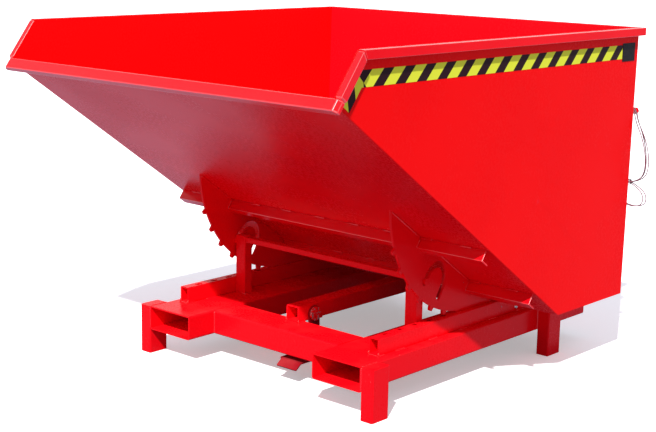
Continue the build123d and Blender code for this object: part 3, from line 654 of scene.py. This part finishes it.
def crimpedFerrule(look):
    mesh = bmesh.new()
    length = ferruleBox[1].x - ferruleBox[0].x
    radius = (ferruleBox[1].z - ferruleBox[0].z) / 2

    def section(distance):
        share = distance / length
        squeeze = look["depth"] * (0.5 - 0.5 * cos(2 * pi * look["waists"] * share))
        ends = look["collar"] * max(0, 1 - min(share, 1 - share) * look["collarEnds"])
        return ring(radius - squeeze - ends, look["sides"], look["flat"])

    steps = look["steps"]
    sweep(mesh, [ropeStart + spot(length * k / steps, 0, 0) for k in range(steps + 1)], section)
    return meshPiece("crimped_ferrule", mesh)


ferrule = keep(crimpedFerrule(crimp), "skip", "zinc")
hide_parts("rope_ferrule")

tieBox = (low("rope_tie"), high("rope_tie"))
tieLook = {"wraps": 4, "thickness": 0.0017, "corner": 4, "sides": 10, "steps": 56}


def tieCord(look):
    # A cord wound round the crossing strands, with its wraps side by side
    mesh = bmesh.new()
    middle = (tieBox[0] + tieBox[1]) / 2
    half = (tieBox[1] - tieBox[0]) / 2
    radius = look["thickness"] / 2
    count = look["wraps"] * look["steps"]
    points = []
    for k in range(count + 1):
        angle = 2 * pi * k / look["steps"]
        a, b = cos(angle), sin(angle)
        squircle = (abs(a) ** look["corner"] + abs(b) ** look["corner"]) ** (1 / look["corner"])
        points.append(middle + spot((k / count * 2 - 1) * (half.x - radius), (half.y - radius) * a / squircle,
                                    (half.z - radius) * b / squircle))
    sweep(mesh, points, lambda distance: ring(radius, look["sides"]))
    return meshPiece("tie_cord", mesh)


tie = keep(tieCord(tieLook), "skip", "label", plain("tie_cord", cordLook))
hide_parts("rope_tie")
print("ferrule and tie made")

# Floor, light and camera
stage = {"floorSize": 60, "floorHeight": -0.0005, "white": (0.93, 0.93, 0.93), "worn": (0.91, 0.91, 0.912),
         "specks": 30, "speckEdges": (0.3, 0.7), "mirrored": (0.40, 0.43, 0.56), "grey": (0.21, 0.21, 0.24),
         "floorRough": 0.9, "floorGloss": 0.1, "glow": 0.35, "sun": 5.1, "sunFrom": (0.44, -0.80, 1.0),
         "sunSize": 1.2, "sky": 0.62, "skyTint": (0.88, 0.94, 1.10)}


def backdropRays(m):
    # One where the camera, or a reflection or refraction, looks straight at the background
    seen, *others = [m.node("ShaderNodeLightPath", {}, (), ray)
                     for ray in ("Is Camera Ray", "Is Glossy Ray", "Is Transmission Ray")]
    for ray in others:
        seen = m.node("ShaderNodeMath", {"operation": "MAXIMUM"}, (seen, ray))
    return seen


bpy.ops.mesh.primitive_plane_add(size=stage["floorSize"], location=(0, 0, stage["floorHeight"]))
ground = bpy.context.object
ground.name = "floor"
# White paper to the camera, one tone in reflections and another for the light that it gives back
g = material("floor_paper")
seen = backdropRays(g)
direct = g.node("ShaderNodeLightPath", {}, (), "Is Camera Ray")
paper = g.blend(g.ramp(g.noise(stage["specks"], 3), *stage["speckEdges"]), stage["white"], stage["worn"])
g.set(Base_Color=g.blend(direct, g.blend(seen, stage["grey"], stage["mirrored"]), paper),
      Roughness=stage["floorRough"], Specular_IOR_Level=stage["floorGloss"])
sheet = Wire(g, g.shader().outputs[0])
glow = g.node("ShaderNodeEmission", {}, {"Color": (1, 1, 1, 1), "Strength": stage["glow"]})
lit = g.node("ShaderNodeAddShader", {}, (sheet, glow))
g.join(g.node("ShaderNodeMixShader", {}, (direct, sheet, lit)), g.tree.nodes["Material Output"].inputs["Surface"])
ground.data.materials.append(g.owner)

w = Maker(bpy.data.worlds.new("sky"))
scene.world = w.owner
background = w.tree.nodes["Background"]
w.join((*stage["skyTint"], 1), background.inputs["Color"])
w.join(stage["sky"], background.inputs["Strength"])
white = w.node("ShaderNodeBackground", {}, {"Color": (1, 1, 1, 1)})
chooser = w.node("ShaderNodeMixShader", {}, (backdropRays(w), Wire(w, background.outputs[0]), white))
w.join(chooser, w.tree.nodes["World Output"].inputs["Surface"])

sun = bpy.data.lights.new("sun", "SUN")
sun.energy = stage["sun"]
sun.angle = radians(stage["sunSize"])
sunLamp = bpy.data.objects.new("sun", sun)
scene.collection.objects.link(sunLamp)
sunLamp.rotation_euler = Vector(stage["sunFrom"]).to_track_quat("Z", "Y").to_euler()

view = {"place": (3.29567, -3.76434, 1.57969), "yaw": 41.61, "pitch": 11.73, "roll": 1.11, "lens": 75.9,
        "sensor": 36}
camera = bpy.data.cameras.new("camera")
camera.lens = view["lens"]
camera.sensor_width = view["sensor"]
eye = bpy.data.objects.new("camera", camera)
scene.collection.objects.link(eye)
yaw, pitch, roll = (radians(view[k]) for k in ("yaw", "pitch", "roll"))
ahead = Vector((-sin(yaw) * cos(pitch), cos(yaw) * cos(pitch), -sin(pitch)))
across = Vector((cos(yaw), sin(yaw), 0))
above = across.cross(ahead)
right = across * cos(roll) + above * sin(roll)
upward = above * cos(roll) - across * sin(roll)
eye.matrix_world = Matrix.Translation(view["place"]) @ Matrix((right, upward, -ahead)).transposed().to_4x4()
scene.camera = eye
scene.view_settings.view_transform = "Standard"
print("stage set")
